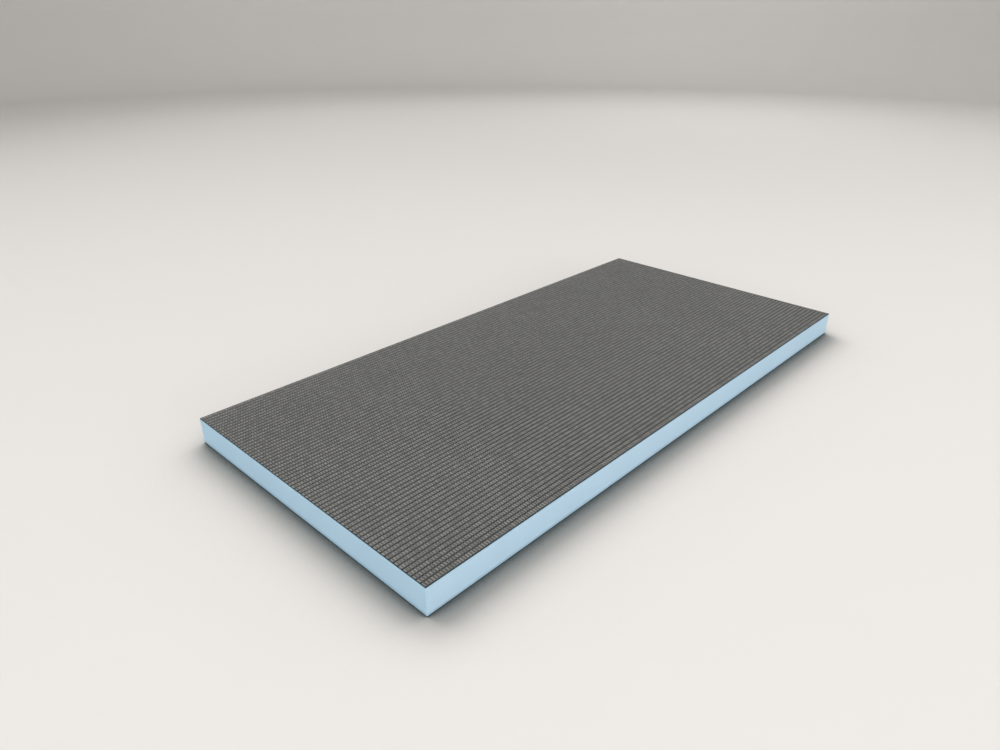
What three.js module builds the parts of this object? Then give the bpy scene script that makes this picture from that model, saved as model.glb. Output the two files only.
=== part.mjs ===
// Foam tile backer board: a light-blue rigid foam core with a thin cement coat cast on each face.
// A glass-fibre mesh lies in each coat. Its lengthwise yarns press grooves into the coat, and the
// cement between them stands up as ribs. The board lies flat, and both of its faces are alike.
// Millimetres, +Z up. The origin is the middle of the underside, X runs along the board, Y across it.
import * as THREE from "three";

// Driving dimensions
const boardLength = 1250;
const boardWidth = 600;
const boardThickness = 50; // over the ribs of both coats
const coatThickness = 1.5; // from the foam to the crown of a rib
const ribPitch = 9.045; // from one lengthwise yarn of the mesh to the next
const grooveMouth = 2.85; // between the crowns of two ribs
const grooveFloor = 1.4;
const grooveDepth = 0.5;

// Levels where the pieces meet, so that both take the same number
const coreBottom = coatThickness;
const coreTop = boardThickness - coatThickness;

const foamBlue = new THREE.MeshStandardMaterial({
  color: 0xb3cddf,
  roughness: 0.85,
  metalness: 0,
});
const cementGrey = new THREE.MeshStandardMaterial({
  color: 0x6b6b68,
  roughness: 0.9,
  metalness: 0,
});

// A section is drawn with x across the board and y up, and its depth becomes the board's length.
const sectionToBoard = new THREE.Matrix4().makeBasis(
  new THREE.Vector3(0, 1, 0),
  new THREE.Vector3(0, 0, 1),
  new THREE.Vector3(1, 0, 0),
);

function extrudeAlongBoard(outline) {
  const geometry = new THREE.ExtrudeGeometry(new THREE.Shape(outline), {
    depth: boardLength,
    bevelEnabled: false,
  });
  geometry.translate(0, 0, -boardLength / 2);
  return geometry.applyMatrix4(sectionToBoard);
}

// The foam core is one plain slab, cut square on all four sides.
function foamCore() {
  const half = boardWidth / 2;
  return extrudeAlongBoard([
    new THREE.Vector2(-half, coreBottom),
    new THREE.Vector2(half, coreBottom),
    new THREE.Vector2(half, coreTop),
    new THREE.Vector2(-half, coreTop),
  ]);
}

// A coat's outline, from its flat side on the foam to the crowns of its ribs. The ribs that fit
// stand in the middle of the width, and a narrow strip at groove level is left at each long edge.
function coatOutline(foamLevel, outward) {
  const half = boardWidth / 2;
  const crownLevel = foamLevel + outward * coatThickness;
  const floorLevel = crownLevel - outward * grooveDepth;
  const halfCrown = (ribPitch - grooveMouth) / 2;
  const halfFoot = (ribPitch - grooveFloor) / 2;
  const ribCount = Math.floor((boardWidth - grooveMouth) / ribPitch);
  const points = [
    new THREE.Vector2(half, foamLevel),
    new THREE.Vector2(-half, foamLevel),
    new THREE.Vector2(-half, floorLevel),
  ];
  for (let rib = 0; rib < ribCount; rib += 1) {
    const middle = (rib - (ribCount - 1) / 2) * ribPitch;
    points.push(
      new THREE.Vector2(middle - halfFoot, floorLevel),
      new THREE.Vector2(middle - halfCrown, crownLevel),
      new THREE.Vector2(middle + halfCrown, crownLevel),
      new THREE.Vector2(middle + halfFoot, floorLevel),
    );
  }
  points.push(new THREE.Vector2(half, floorLevel));
  return points;
}

function namedMesh(name, geometry, material) {
  const mesh = new THREE.Mesh(geometry, material);
  mesh.name = name;
  return mesh;
}

const board = new THREE.Group();
board.add(
  namedMesh("foam_core", foamCore(), foamBlue),
  namedMesh("top_coat", extrudeAlongBoard(coatOutline(coreTop, 1)), cementGrey),
  namedMesh("bottom_coat", extrudeAlongBoard(coatOutline(coreBottom, -1)), cementGrey),
);

export default board;
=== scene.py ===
# A foam tile backer board lying flat: a light-blue foam core with a grey cement coat cast on each
# face, and a glass-fibre mesh cured in each coat. Metres, with Z up out of the top coat.
import math

import bpy
import numpy as np
from mathutils import Matrix, Vector, noise


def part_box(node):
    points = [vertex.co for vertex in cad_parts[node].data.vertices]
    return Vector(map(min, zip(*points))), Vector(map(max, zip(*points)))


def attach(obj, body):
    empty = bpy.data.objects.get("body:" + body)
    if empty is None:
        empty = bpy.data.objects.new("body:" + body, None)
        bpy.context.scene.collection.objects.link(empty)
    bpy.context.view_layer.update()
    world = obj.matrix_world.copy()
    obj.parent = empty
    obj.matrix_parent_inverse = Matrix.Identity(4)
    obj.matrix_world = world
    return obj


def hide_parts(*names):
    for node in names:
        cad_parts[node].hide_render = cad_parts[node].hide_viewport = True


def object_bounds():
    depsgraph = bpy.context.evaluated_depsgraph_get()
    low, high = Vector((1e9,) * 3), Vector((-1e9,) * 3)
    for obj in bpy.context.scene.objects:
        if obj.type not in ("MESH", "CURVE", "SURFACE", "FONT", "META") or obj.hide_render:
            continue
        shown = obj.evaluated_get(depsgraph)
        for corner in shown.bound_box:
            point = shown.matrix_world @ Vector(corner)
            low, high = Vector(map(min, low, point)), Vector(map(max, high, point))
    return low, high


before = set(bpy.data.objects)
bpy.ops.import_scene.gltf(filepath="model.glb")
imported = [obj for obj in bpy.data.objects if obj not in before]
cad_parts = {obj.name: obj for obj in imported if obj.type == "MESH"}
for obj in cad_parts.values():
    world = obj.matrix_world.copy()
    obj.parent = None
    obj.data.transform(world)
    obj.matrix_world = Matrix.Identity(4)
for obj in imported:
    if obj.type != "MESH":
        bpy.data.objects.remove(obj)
cad_low, cad_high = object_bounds()

# The foam core
# A slab of extruded polystyrene, light blue all through, with cells finer than a millimetre.
# Its four sides are cut square and bare, and the saw leaves faint lines along them.

foam_low, foam_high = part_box("foam_core")
board_length = foam_high.x - foam_low.x
board_width = foam_high.y - foam_low.y
arris_radius = 0.0007
arris_steps = 4
side_step = 0.005
side_rows = 9
saw_wander = 0.00012
wander_size = 0.018
foam_dark = (0.420, 0.590, 0.722)
foam_light = (0.450, 0.624, 0.755)
foam_mottles_per_metre = 14
foam_cells_per_metre = 1700
saw_lines_per_metre = 12
saw_line_flatness = 90
foam_relief = 0.0001


def outline_with_eased_corners():
    """The foam seen from above, anticlockwise, as (x, y, outward x, outward y) rows."""
    rows = []
    reach_x = foam_high.x - arris_radius
    reach_y = foam_high.y - arris_radius
    corners = ((reach_x, -reach_y), (reach_x, reach_y), (-reach_x, reach_y), (-reach_x, -reach_y))
    for number, (centre_x, centre_y) in enumerate(corners):
        for step in range(arris_steps + 1):
            angle = math.radians(90) * (number - 1 + step / arris_steps)
            out_x, out_y = math.cos(angle), math.sin(angle)
            rows.append((centre_x + arris_radius * out_x, centre_y + arris_radius * out_y, out_x, out_y))
        next_x, next_y = corners[(number + 1) % 4]
        run = 2 * (reach_y if number % 2 == 0 else reach_x)
        pieces = round(run / side_step)
        for step in range(1, pieces):
            share = step / pieces
            x = centre_x + (next_x - centre_x) * share + arris_radius * out_x
            y = centre_y + (next_y - centre_y) * share + arris_radius * out_y
            rows.append((x, y, out_x, out_y))
    return rows


def foam_core_mesh():
    """The outline stood up between the two coats, with its sides wavering where the saw went."""
    outline = outline_with_eased_corners()
    count = len(outline)
    levels = np.linspace(foam_low.z, foam_high.z, side_rows)
    points = []
    for level in levels:
        for x, y, out_x, out_y in outline:
            place = Vector((x, y, level)) / wander_size
            inward = saw_wander * (0.5 + 0.5 * noise.noise(place))
            points.append((x - out_x * inward, y - out_y * inward, level))
    faces = [tuple(reversed(range(count)))]
    for row in range(side_rows - 1):
        for column in range(count):
            after = (column + 1) % count
            low, high = row * count, (row + 1) * count
            faces.append((low + column, low + after, high + after, high + column))
    faces.append(tuple(range((side_rows - 1) * count, side_rows * count)))
    mesh = bpy.data.meshes.new("foam_core_cut")
    mesh.from_pydata(points, [], faces)
    mesh.polygons.foreach_set("use_smooth", [len(face) == 4 for face in faces])
    return mesh


def add_foam_bake_map(mesh):
    """Stacks the four sides as long strips, with the two covered faces in the last strips."""
    layer = mesh.uv_layers.new(name="OFBake")
    side_strip = 0.2
    covered_strip = 0.09
    width_share = 0.5  # a little more than the board's width in board lengths
    gap = 0.01
    covered_scale = covered_strip / width_share
    for face in mesh.polygons:
        facing = face.normal
        for corner in face.loop_indices:
            place = mesh.vertices[mesh.loops[corner].vertex_index].co
            along_x = (place.x - foam_low.x) / board_length
            along_y = (place.y - foam_low.y) / board_length
            up = (place.z - foam_low.z) / (foam_high.z - foam_low.z)
            if abs(facing.z) > 0.5:
                strip = 4 * side_strip + (covered_strip + gap if facing.z > 0 else 0)
                layer.data[corner].uv = (along_x, strip + along_y * covered_scale)
            elif abs(facing.y) > abs(facing.x):
                strip = 0 if facing.y < 0 else side_strip
                layer.data[corner].uv = (along_x, strip + up * (side_strip - gap))
            else:
                strip = (2 if facing.x < 0 else 3) * side_strip
                layer.data[corner].uv = (along_y, strip + up * (side_strip - gap))


def new_material(name):
    """An empty node material: its tree, its shader and its object coordinates."""
    material = bpy.data.materials.new(name)
    material.use_nodes = True
    tree = material.node_tree
    shader = tree.nodes["Principled BSDF"]
    place = tree.nodes.new("ShaderNodeTexCoord").outputs["Object"]
    return material, tree, shader, place


def speckle(tree, place, scale, detail=2.0, stretch=(1, 1, 1)):
    """Noise with so many blotches to the metre, as a value from 0 to 1."""
    mapping = tree.nodes.new("ShaderNodeMapping")
    mapping.inputs["Scale"].default_value = stretch
    texture = tree.nodes.new("ShaderNodeTexNoise")
    texture.inputs["Scale"].default_value = scale
    texture.inputs["Detail"].default_value = detail
    tree.links.new(place, mapping.inputs["Vector"])
    tree.links.new(mapping.outputs["Vector"], texture.inputs["Vector"])
    return texture.outputs["Fac"]


def weighted_sum(tree, parts):
    """Adds values together, each times its weight."""
    total = None
    for value, weight in parts:
        step = tree.nodes.new("ShaderNodeMath")
        step.operation = "MULTIPLY_ADD"
        step.inputs[1].default_value = weight
        step.inputs[2].default_value = 0.0
        tree.links.new(value, step.inputs[0])
        if total is not None:
            tree.links.new(total, step.inputs[2])
        total = step.outputs["Value"]
    return total


def colour_by(tree, value, stops):
    """A colour that runs from stop to stop as the value rises. A stop is a value and its colour."""
    ramp = tree.nodes.new("ShaderNodeValToRGB")
    elements = ramp.color_ramp.elements
    for number, (position, colour) in enumerate(stops):
        element = elements[number] if number < 2 else elements.new(position)
        element.position = position
        element.color = (*colour, 1)
    tree.links.new(value, ramp.inputs["Fac"])
    return ramp.outputs["Color"]


def mottled(tree, tone, dark, light):
    """A colour from dark to light over the middle of the range, where most of a noise lies."""
    return colour_by(tree, tone, ((0.3, dark), (0.7, light)))


def add_bump(tree, shader, height, strength, depth):
    """Fine relief of that depth in metres."""
    bump = tree.nodes.new("ShaderNodeBump")
    bump.inputs["Strength"].default_value = strength
    bump.inputs["Distance"].default_value = depth
    tree.links.new(height, bump.inputs["Height"])
    tree.links.new(bump.outputs["Normal"], shader.inputs["Normal"])


def blue_foam():
    """Matt closed-cell foam: fine cells, a little mottling, and saw lines along the sides."""
    material, tree, shader, place = new_material("blue_foam")
    mottling = speckle(tree, place, foam_mottles_per_metre)
    cells = speckle(tree, place, foam_cells_per_metre, 1.0)
    saw_lines = speckle(tree, place, saw_lines_per_metre, 3.0, stretch=(1, 1, saw_line_flatness))
    tone = weighted_sum(tree, ((mottling, 0.5), (cells, 0.25), (saw_lines, 0.25)))
    tree.links.new(mottled(tree, tone, foam_dark, foam_light), shader.inputs["Base Color"])
    relief = weighted_sum(tree, ((cells, 0.7), (saw_lines, 0.5)))
    add_bump(tree, shader, relief, 0.5, foam_relief)
    shader.inputs["Roughness"].default_value = 0.8
    shader.inputs["Specular IOR Level"].default_value = 0.3
    return material


foam_mesh = foam_core_mesh()
add_foam_bake_map(foam_mesh)
foam_mesh.materials.append(blue_foam())
foam_piece = bpy.data.objects.new("foam_core_cut", foam_mesh)
bpy.context.scene.collection.objects.link(foam_piece)
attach(foam_piece, "root")
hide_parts("foam_core")

# The cement beds
# Each coat is a polymer cement paste spread on the foam. Its lower layer is a smooth bed that
# grips the foam, with a shallow groove under each pair of lengthwise yarns. Its near-black colour is
# partly the dark paste and partly painted shade of the grooves between the pads. It is sawn off
# flush with the foam, and blue foam dust is rubbed into the sawn rims.

coat_low, coat_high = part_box("top_coat")
crown_level = coat_high.z
foam_level = coat_low.z
rib_pitch = 0.009045
cross_yarn_spacing = 0.00498
openings_along = round(board_length / cross_yarn_spacing)
cross_pitch = board_length / openings_along
crown_height = 0.00026
groove_depth = 0.00014
groove_mouth = 0.0030
groove_floor = 0.0022
bed_level = crown_level - crown_height
groove_level = bed_level - groove_depth
bed_step = 0.020
rim_wear = 0.00018
rib_count = math.floor((board_width - groove_mouth) / rib_pitch)
rib_middles = (np.arange(rib_count) - (rib_count - 1) / 2) * rib_pitch
upright = 0.2  # a face stands upright if its normal rises or drops less than this
# The bed's colours are near black: partly the paste's own dark colour, partly painted shade of the
# grooves.
bed_dark = (0.010, 0.012, 0.013)
bed_light = (0.022, 0.025, 0.026)
rim_dark = (0.012, 0.052, 0.066)
rim_light = (0.022, 0.074, 0.092)
paste_patches_per_metre = 60
paste_sand_per_metre = 1500
paste_relief = 0.00012

board_middle = (cad_low.z + cad_high.z) / 2
turned_over = (
    Matrix.Translation((0, 0, board_middle))
    @ Matrix.Rotation(math.radians(180), 4, "X")
    @ Matrix.Translation((0, 0, -board_middle))
)


def bed_section():
    """The bed's outward surface across the board, as (y, height) rows from one edge to the other."""
    rows = [(foam_low.y, bed_level)]
    for middle in rib_middles:
        half_foot = (rib_pitch - groove_floor) / 2
        half_top = (rib_pitch - groove_mouth) / 2
        rows.append((middle - half_foot, groove_level))
        rows.append((middle - half_top, bed_level))
        rows.append((middle + half_top, bed_level))
        rows.append((middle + half_foot, groove_level))
    rows.append((foam_high.y, bed_level))
    return rows


def bed_mesh(random):
    """The bed's section run along the board, with its rim a little worn by the saw."""
    section = bed_section()
    section.append((foam_high.y, foam_level))
    section.append((foam_low.y, foam_level))
    count = len(section)
    rings = round(board_length / bed_step) + 1
    points = np.zeros((rings, count, 3))
    points[:, :, 0] = np.linspace(foam_low.x, foam_high.x, rings)[:, None]
    points[:, :, 1] = [y for y, _ in section]
    points[:, :, 2] = [height for _, height in section]
    points[0, :, 0] += rim_wear * random.random(count)
    points[-1, :, 0] -= rim_wear * random.random(count)
    points[:, (0, -1), 1] += rim_wear * random.random((rings, 2))
    points[:, (-3, -2), 1] -= rim_wear * random.random((rings, 2))
    faces = [tuple(range(count))]
    for ring in range(rings - 1):
        for column in range(count):
            after = (column + 1) % count
            here, there = ring * count, (ring + 1) * count
            faces.append((here + column, there + column, there + after, here + after))
    faces.append(tuple(reversed(range((rings - 1) * count, rings * count))))
    mesh = bpy.data.meshes.new("cement_bed")
    mesh.from_pydata(points.reshape(-1, 3).tolist(), [], faces)
    sawn = mesh.attributes.new("sawn_rim", "FLOAT", "FACE")
    sawn.data.foreach_set("value", [float(abs(face.normal.z) < upright) for face in mesh.polygons])
    return mesh


def add_coat_bake_map(mesh):
    """Lays a coat's faces out as seen from above: outward ones below, covered ones above them,
    and the upright rims in narrow strips along the top."""
    layer = mesh.uv_layers.new(name="OFBake")
    vertex_of = np.zeros(len(mesh.loops), np.int32)
    mesh.loops.foreach_get("vertex_index", vertex_of)
    places = np.zeros(len(mesh.vertices) * 3, np.float32)
    mesh.vertices.foreach_get("co", places)
    places = places.reshape(-1, 3)[vertex_of]
    facing = np.zeros(len(mesh.polygons) * 3, np.float32)
    mesh.polygons.foreach_get("normal", facing)
    corners_each = np.zeros(len(mesh.polygons), np.int32)
    mesh.polygons.foreach_get("loop_total", corners_each)
    facing = np.repeat(facing.reshape(-1, 3), corners_each, axis=0)
    along_x = (places[:, 0] - foam_low.x) / board_length
    along_y = (places[:, 1] - foam_low.y) / board_length
    up = (places[:, 2] - foam_level) / (crown_level - foam_level)
    covered_start = 0.487
    rim_start = 0.972
    rim_strip = 0.006
    rim_fill = 0.8
    place_u = along_x.copy()
    place_v = np.where(facing[:, 2] > 0, along_y, covered_start + along_y)
    side = np.abs(facing[:, 2]) < upright
    end = side & (np.abs(facing[:, 0]) > np.abs(facing[:, 1]))
    place_u[end] = along_y[end]
    turn = np.where(end, 2, 0) + np.where(facing[:, 0] + facing[:, 1] > 0, 1, 0)
    place_v[side] = (rim_start + rim_strip * (turn + rim_fill * up))[side]
    layer.data.foreach_set("uv", np.column_stack((place_u, place_v)).astype(np.float32).ravel())


def put_on_both_faces(mesh, words, material):
    """Places a top coat's piece, and the same piece turned over as the bottom coat's."""
    add_coat_bake_map(mesh)
    mesh.materials.append(material)
    under = mesh.copy()
    under.transform(turned_over)
    for face_name, piece_mesh in (("top", mesh), ("bottom", under)):
        piece = bpy.data.objects.new(f"{face_name}_{words}", piece_mesh)
        bpy.context.scene.collection.objects.link(piece)
        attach(piece, "root")
        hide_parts(f"{face_name}_coat")


def dark_cement():
    """Smooth, dense paste, coloured near black partly as dark paste and partly as painted shade of the
    grooves, and its sawn rims, bluer than the rest.
    """
    material, tree, shader, place = new_material("dark_cement")
    patches = speckle(tree, place, paste_patches_per_metre)
    sand = speckle(tree, place, paste_sand_per_metre, 3.0)
    tone = weighted_sum(tree, ((patches, 0.5), (sand, 0.5)))
    sawn = tree.nodes.new("ShaderNodeAttribute")
    sawn.attribute_name = "sawn_rim"
    mix = tree.nodes.new("ShaderNodeMixRGB")
    tree.links.new(sawn.outputs["Fac"], mix.inputs["Fac"])
    tree.links.new(mottled(tree, tone, bed_dark, bed_light), mix.inputs["Color1"])
    tree.links.new(mottled(tree, tone, rim_dark, rim_light), mix.inputs["Color2"])
    tree.links.new(mix.outputs["Color"], shader.inputs["Base Color"])
    add_bump(tree, shader, sand, 0.5, paste_relief)
    shader.inputs["Roughness"].default_value = 0.9
    shader.inputs["Specular IOR Level"].default_value = 0.2
    return material


put_on_both_faces(bed_mesh(np.random.RandomState(7)), "cement_bed", dark_cement())

# The mortar pads
# Between the yarns the cement stands up through each opening of the mesh as a small raised pad.
# Its crown and its ends dry pale, and its two flanks along the grooves are coloured dark as painted
# shade.

pad_length = 0.0036
pad_width = 0.0070
crown_length = 0.0027
crown_width = 0.0061
pad_root = 0.00008
size_spread = 0.05
place_spread = 0.00012
height_spread = 0.00007
rim_reach = 0.0013
# The flanks take a tone below the colour ramp, so they are painted dark: painted shade of the grooves.
painted_shade_flank_tone = -0.35
painted_shade_flank_colour = (0.040, 0.042, 0.041)
pad_dark = (0.120, 0.120, 0.115)
pad_light = (0.215, 0.215, 0.206)
pad_patches_per_metre = 5
pad_sand_per_metre = 1400
pad_relief = 0.0002


def pads_mesh(random):
    """A low block with sloping sides in each opening. The outermost rows reach to the long edges."""
    across = np.arange(openings_along) * cross_pitch + foam_low.x + cross_pitch / 2
    middle_x, middle_y = (grid.ravel() for grid in np.meshgrid(across, rib_middles))
    count = len(middle_x)
    middle_x = middle_x + place_spread * (random.random(count) - 0.5)
    middle_y = middle_y + place_spread * (random.random(count) - 0.5)
    size = 1 + size_spread * (random.random((count, 2)) - 0.5)
    crown = crown_level - height_spread * random.random((count, 4)) ** 2
    points = np.zeros((count, 8, 3))
    around = ((-1, -1), (1, -1), (1, 1), (-1, 1))
    for corner, (side_x, side_y) in enumerate(around):
        points[:, corner, 0] = middle_x + side_x * size[:, 0] * pad_length / 2
        points[:, corner, 1] = middle_y + side_y * size[:, 1] * pad_width / 2
        points[:, corner, 2] = bed_level - pad_root
        points[:, corner + 4, 0] = middle_x + side_x * size[:, 0] * crown_length / 2
        points[:, corner + 4, 1] = middle_y + side_y * size[:, 1] * crown_width / 2
        points[:, corner + 4, 2] = crown[:, corner]
    near_row, far_row = slice(0, openings_along), slice(count - openings_along, count)
    points[near_row, ::4, 1] -= rim_reach
    points[near_row, 1::4, 1] -= rim_reach
    points[far_row, 2::4, 1] += rim_reach
    points[far_row, 3::4, 1] += rim_reach
    flank_near, end_right, flank_far, end_left = [
        (corner, (corner + 1) % 4, (corner + 1) % 4 + 4, corner + 4) for corner in range(4)
    ]
    one_pad = np.array([(3, 2, 1, 0), (4, 5, 6, 7), flank_near, end_right, flank_far, end_left])
    flanks = (2, 4)
    faces = (one_pad[None] + 8 * np.arange(count)[:, None, None]).reshape(-1, 4)
    mesh = bpy.data.meshes.new("mortar_pads")
    mesh.from_pydata(points.reshape(-1, 3).tolist(), [], faces.tolist())
    mesh.polygons.foreach_set("use_smooth", np.ones(len(faces), bool))
    pad_tones_and_flank_shade = np.repeat(random.random((count, 1)), len(one_pad), axis=1)
    # The two flanks of each pad get the flank tone: painted shade.
    pad_tones_and_flank_shade[:, flanks] = painted_shade_flank_tone
    tone = mesh.attributes.new("pad_tone_and_flank_shade", "FLOAT", "FACE")
    tone.data.foreach_set("value", pad_tones_and_flank_shade.astype(np.float32).ravel())
    return mesh


def pale_cement():
    """Dry sandy cement, each pad a little lighter or darker than the next, with painted shade on its
    flanks.
    """
    material, tree, shader, place = new_material("pale_cement")
    pad = tree.nodes.new("ShaderNodeAttribute")
    pad.attribute_name = "pad_tone_and_flank_shade"
    patches = speckle(tree, place, pad_patches_per_metre)
    sand = speckle(tree, place, pad_sand_per_metre, 3.0)
    tone = weighted_sum(tree, ((pad.outputs["Fac"], 0.40), (patches, 0.15), (sand, 0.45)))
    colour = colour_by(tree, tone, ((0.0, painted_shade_flank_colour), (0.2, pad_dark), (0.8, pad_light)))
    tree.links.new(colour, shader.inputs["Base Color"])
    add_bump(tree, shader, sand, 0.6, pad_relief)
    shader.inputs["Roughness"].default_value = 0.92
    shader.inputs["Specular IOR Level"].default_value = 0.2
    return material


put_on_both_faces(pads_mesh(np.random.RandomState(11)), "mortar_pads", pale_cement())

# The cross yarns
# Flat glass-fibre rovings lie across the board, one between each two rows of pads. They are soaked
# with cement, lie a little lower than the pads, and bridge the grooves.

cross_yarn_foot = 0.0017
cross_yarn_top = 0.0014
cross_yarn_drop = 0.00005
cross_yarn_bends = 12
cross_yarn_wander = 0.00015
roving_dark = (0.064, 0.065, 0.063)
roving_light = (0.102, 0.103, 0.100)
roving_fibres_per_metre = 40
roving_fibre_fineness = 60
roving_sand_per_metre = 1200


def tubes_mesh(name, points):
    """A mesh of closed tubes from an array of tube, stop, corner and coordinate."""
    tubes, stops, corners, _ = points.shape
    one_tube = []
    for stop in range(stops - 1):
        here, there = stop * corners, (stop + 1) * corners
        for corner in range(corners):
            after = (corner + 1) % corners
            one_tube.append((here + corner, there + corner, there + after, here + after))
    start = tuple(range(corners))
    finish = tuple(reversed(range((stops - 1) * corners, stops * corners)))
    faces = []
    for tube in range(tubes):
        first = tube * stops * corners
        faces.extend(tuple(first + index for index in face) for face in (*one_tube, start, finish))
    mesh = bpy.data.meshes.new(name)
    mesh.from_pydata(points.reshape(-1, 3).tolist(), [], faces)
    mesh.polygons.foreach_set("use_smooth", np.ones(len(faces), bool))
    return mesh


def cross_yarns_mesh(random):
    """One flat bar between each two rows of pads, a little out of line at each bend."""
    yarns = openings_along - 1
    middle_x = foam_low.x + cross_pitch * np.arange(1, yarns + 1)
    stops = np.linspace(foam_low.y + rim_wear, foam_high.y - rim_wear, cross_yarn_bends + 1)
    wander = cross_yarn_wander * (random.random((yarns, len(stops))) - 0.5)
    root = groove_level - pad_root
    top = crown_level - cross_yarn_drop
    section = (
        (-cross_yarn_foot / 2, root),
        (-cross_yarn_top / 2, top),
        (cross_yarn_top / 2, top),
        (cross_yarn_foot / 2, root),
    )
    points = np.zeros((yarns, len(stops), len(section), 3))
    for corner, (across, level) in enumerate(section):
        points[:, :, corner, 0] = middle_x[:, None] + wander + across
        points[:, :, corner, 1] = stops
        points[:, :, corner, 2] = level
    return tubes_mesh("cross_yarns", points)


def cement_soaked_roving():
    """Cement-filled glass roving with streaks along its fibres, across the board."""
    material, tree, shader, place = new_material("cement_soaked_roving")
    along_fibres = (roving_fibre_fineness, 1, roving_fibre_fineness)
    fibres = speckle(tree, place, roving_fibres_per_metre, 2.0, stretch=along_fibres)
    sand = speckle(tree, place, roving_sand_per_metre, 2.0)
    tone = weighted_sum(tree, ((fibres, 0.5), (sand, 0.5)))
    tree.links.new(mottled(tree, tone, roving_dark, roving_light), shader.inputs["Base Color"])
    shader.inputs["Roughness"].default_value = 0.85
    shader.inputs["Specular IOR Level"].default_value = 0.25
    return material


put_on_both_faces(
    cross_yarns_mesh(np.random.RandomState(3)), "cross_yarns", cement_soaked_roving()
)

# The lengthwise yarns
# A pair of thin twisted strands runs along each groove. They swap sides between each two cross
# yarns, one over and one under, which locks the mesh. They are coloured near black, partly as
# dark paste on the glass and partly as painted shade of the groove.

strand_width = 0.0008
strand_height = 0.00018
strand_offset = 0.00062
strand_lift = 0.00006
# Near black: partly dark paste, partly painted shade of the groove.
strand_dark = (0.010, 0.012, 0.012)
strand_light = (0.024, 0.027, 0.027)
strand_streaks_per_metre = 300
strand_streak_fineness = 3


def lengthwise_yarns_mesh():
    """Two ridged strands in each groove, which cross over each other at every cross yarn."""
    grooves = (np.arange(rib_count - 1) - (rib_count - 2) / 2) * rib_pitch
    stop_numbers = np.arange(openings_along + 1)
    stop_spacing = (board_length - 2 * rim_wear) / openings_along
    stops = foam_low.x + rim_wear + stop_numbers * stop_spacing
    swap = np.where(stop_numbers % 2 == 0, 1, -1)
    root = groove_level - pad_root
    tubes = []
    for groove in grooves:
        for first_side in (1, -1):
            side = first_side * swap
            middle = groove + strand_offset * side
            lift = strand_lift * (1 + side) / 2
            tube = np.zeros((len(stops), 3, 3))
            tube[:, :, 0] = stops[:, None]
            tube[:, 0, 1] = middle - strand_width / 2
            tube[:, 1, 1] = middle + strand_width / 2
            tube[:, 2, 1] = middle
            tube[:, 0, 2] = root + lift
            tube[:, 1, 2] = root + lift
            tube[:, 2, 2] = groove_level + strand_height + lift
            tubes.append(tube)
    return tubes_mesh("lengthwise_yarns", np.array(tubes))


def dark_strand_and_painted_shade():
    """Twisted glass strand, coloured near black partly as dark paste and partly as painted shade of the
    groove, with fine streaks along it.
    """
    material, tree, shader, place = new_material("dark_strand_and_painted_shade")
    along_strand = (1, strand_streak_fineness, 1)
    streaks = speckle(tree, place, strand_streaks_per_metre, 2.0, stretch=along_strand)
    tree.links.new(mottled(tree, streaks, strand_dark, strand_light), shader.inputs["Base Color"])
    shader.inputs["Roughness"].default_value = 0.7
    shader.inputs["Specular IOR Level"].default_value = 0.3
    return material


put_on_both_faces(lengthwise_yarns_mesh(), "lengthwise_yarns", dark_strand_and_painted_shade())

# The studio
# A plain pale floor turns up softly into a wall some metres away; close round the board the floor
# carries a painted shadow. Broad light comes from behind the board, a low wide panel faces each
# side that shows, and two small panels light the wall.
# The camera stands where the photograph was taken from.

floor_drop = 0.0002
floor_middle = 2.0
floor_radius = 6.5
sweep_radius = 0.6
wall_height = 3.3
sweep_steps = 10
floor_sectors = 96
floor_pale = (0.66, 0.643, 0.626)
contact_reach = 0.25
contact_samples = 12
# The floor's painted shadow: its colour by how open the floor is to the room near the board.
painted_contact_shadow = (
    (0.50, (0.050, 0.074, 0.080)),
    (0.54, (0.260, 0.262, 0.246)),
    (0.88, (0.600, 0.578, 0.552)),
    (1.0, floor_pale),
)


def studio_mesh():
    """A round floor and its wall in one, as rings from the middle out and up."""
    profile = [(floor_middle, 0.0), (floor_radius - sweep_radius, 0.0)]
    for step in range(1, sweep_steps + 1):
        angle = math.radians(90) * step / sweep_steps
        out = floor_radius - sweep_radius + sweep_radius * math.sin(angle)
        profile.append((out, sweep_radius * (1 - math.cos(angle))))
    profile.append((floor_radius, wall_height))
    points = []
    for out, up in profile:
        for sector in range(floor_sectors):
            angle = 2 * math.pi * sector / floor_sectors
            points.append((out * math.cos(angle), out * math.sin(angle), up - floor_drop))
    faces = [tuple(range(floor_sectors))]
    for ring in range(len(profile) - 1):
        for sector in range(floor_sectors):
            after = (sector + 1) % floor_sectors
            here, there = ring * floor_sectors, (ring + 1) * floor_sectors
            faces.append((here + sector, there + sector, there + after, here + after))
    mesh = bpy.data.meshes.new("studio_floor")
    mesh.from_pydata(points, [], faces)
    mesh.polygons.foreach_set("use_smooth", [True] * len(faces))
    return mesh


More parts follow.
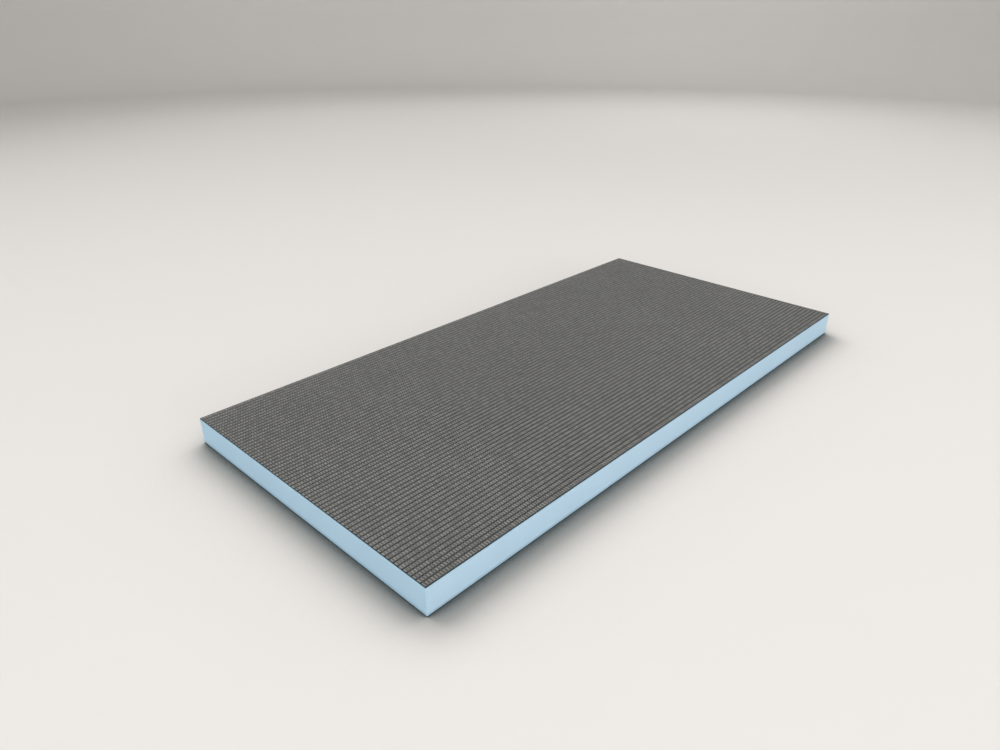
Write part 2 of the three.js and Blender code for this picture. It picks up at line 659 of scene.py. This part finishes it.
def pale_floor():
    """A smooth pale floor with a painted shadow round the board: seen by the camera, it is coloured
    darker the less of the room it sees past the board. Its light on the board is that of the plain
    pale floor, so the foam's sides stay evenly lit."""
    material, tree, shader, _ = new_material("pale_floor")
    plain = tree.nodes.new("ShaderNodeBsdfDiffuse")
    plain.inputs["Color"].default_value = (*floor_pale, 1)
    ray = tree.nodes.new("ShaderNodeLightPath")
    seen_or_not = tree.nodes.new("ShaderNodeMixShader")
    tree.links.new(ray.outputs["Is Camera Ray"], seen_or_not.inputs["Fac"])
    tree.links.new(plain.outputs["BSDF"], seen_or_not.inputs[1])
    tree.links.new(shader.outputs["BSDF"], seen_or_not.inputs[2])
    tree.links.new(seen_or_not.outputs["Shader"], tree.nodes["Material Output"].inputs["Surface"])
    openness = tree.nodes.new("ShaderNodeAmbientOcclusion")
    openness.inputs["Distance"].default_value = contact_reach
    openness.samples = contact_samples
    colour = colour_by(tree, openness.outputs["AO"], painted_contact_shadow)
    tree.links.new(colour, shader.inputs["Base Color"])
    shader.inputs["Roughness"].default_value = 0.9
    shader.inputs["Specular IOR Level"].default_value = 0.0
    return material


studio = bpy.data.objects.new("studio_floor", studio_mesh())
studio.data.materials.append(pale_floor())
bpy.context.scene.collection.objects.link(studio)

white = (1.0, 0.99, 0.975)
side_white = (1.0, 0.98, 0.975)
cool_white = (0.79, 0.94, 1.0)
side_panel = (4.4, 1.2)
wall_panel = (1.8, 1.8)
sky_colour = (1.0, 0.99, 0.98)
sky_strength = 0.42


def point_at(light, place, aim):
    """Stands a light at its place, facing the point it is aimed at."""
    light.location = place
    light.rotation_euler = (Vector(aim) - Vector(place)).to_track_quat("-Z", "Y").to_euler()
    bpy.context.scene.collection.objects.link(light)


def panel_light(name, place, aim, size, spread, power, colour):
    """A soft panel, so wide and so high, whose light spreads over that many degrees."""
    lamp = bpy.data.lights.new(name, "AREA")
    lamp.shape = "RECTANGLE"
    lamp.size, lamp.size_y = size
    lamp.spread = math.radians(spread)
    lamp.energy = power
    lamp.color = colour
    panel = bpy.data.objects.new(name, lamp)
    panel.visible_camera = False
    point_at(panel, place, aim)


def far_light(name, azimuth, height, width, power):
    """A broad light a long way off, in degrees: where it stands, how high, and how wide it looks."""
    lamp = bpy.data.lights.new(name, "SUN")
    lamp.angle = math.radians(width)
    lamp.energy = power
    lamp.color = white
    turn, rise = math.radians(azimuth), math.radians(height)
    place = (math.cos(rise) * math.cos(turn), math.cos(rise) * math.sin(turn), math.sin(rise))
    point_at(bpy.data.objects.new(name, lamp), place, (0, 0, 0))


far_light("back_light", azimuth=48, height=36, width=30, power=0.79)
far_light("left_back_light", azimuth=85, height=45, width=45, power=1.86)
far_light("right_back_light", azimuth=5, height=45, width=45, power=0.92)
panel_light(
    "long_side_light", place=(0.0, -4.95, 0.70), aim=(0, 0, 0),
    size=side_panel, spread=90, power=24, colour=side_white,
)
panel_light(
    "short_side_light", place=(-4.88, -0.86, 0.70), aim=(0, 0, 0),
    size=side_panel, spread=90, power=15.5, colour=cool_white,
)
panel_light(
    "left_backdrop_light", place=(1.8, 3.8, 2.4), aim=(2.7, 5.8, 0.3),
    size=wall_panel, spread=180, power=12, colour=white,
)
panel_light(
    "right_backdrop_light", place=(3.8, 1.8, 2.4), aim=(5.8, 2.7, 0.3),
    size=wall_panel, spread=180, power=22, colour=white,
)

world = bpy.data.worlds.new("studio_air")
bpy.context.scene.world = world
world.use_nodes = True
sky = world.node_tree.nodes["Background"]
sky.inputs["Color"].default_value = (*sky_colour, 1)
sky.inputs["Strength"].default_value = sky_strength

camera_place = (-1.0607, -0.8449, 0.7009)
view_azimuth = 43.744
view_drop = 27.048
camera_roll = 0.093
focal_length = 26.345

camera_data = bpy.data.cameras.new("camera")
camera_data.sensor_width = 36.0
camera_data.lens = focal_length
camera_data.clip_start = 0.01
camera = bpy.data.objects.new("camera", camera_data)
camera.matrix_world = (
    Matrix.Translation(camera_place)
    @ Matrix.Rotation(math.radians(view_azimuth - 90), 4, "Z")
    @ Matrix.Rotation(math.radians(90 - view_drop), 4, "X")
    @ Matrix.Rotation(math.radians(camera_roll), 4, "Z")
)
bpy.context.scene.collection.objects.link(camera)
bpy.context.scene.camera = camera
bpy.context.scene.view_settings.view_transform = "Standard"
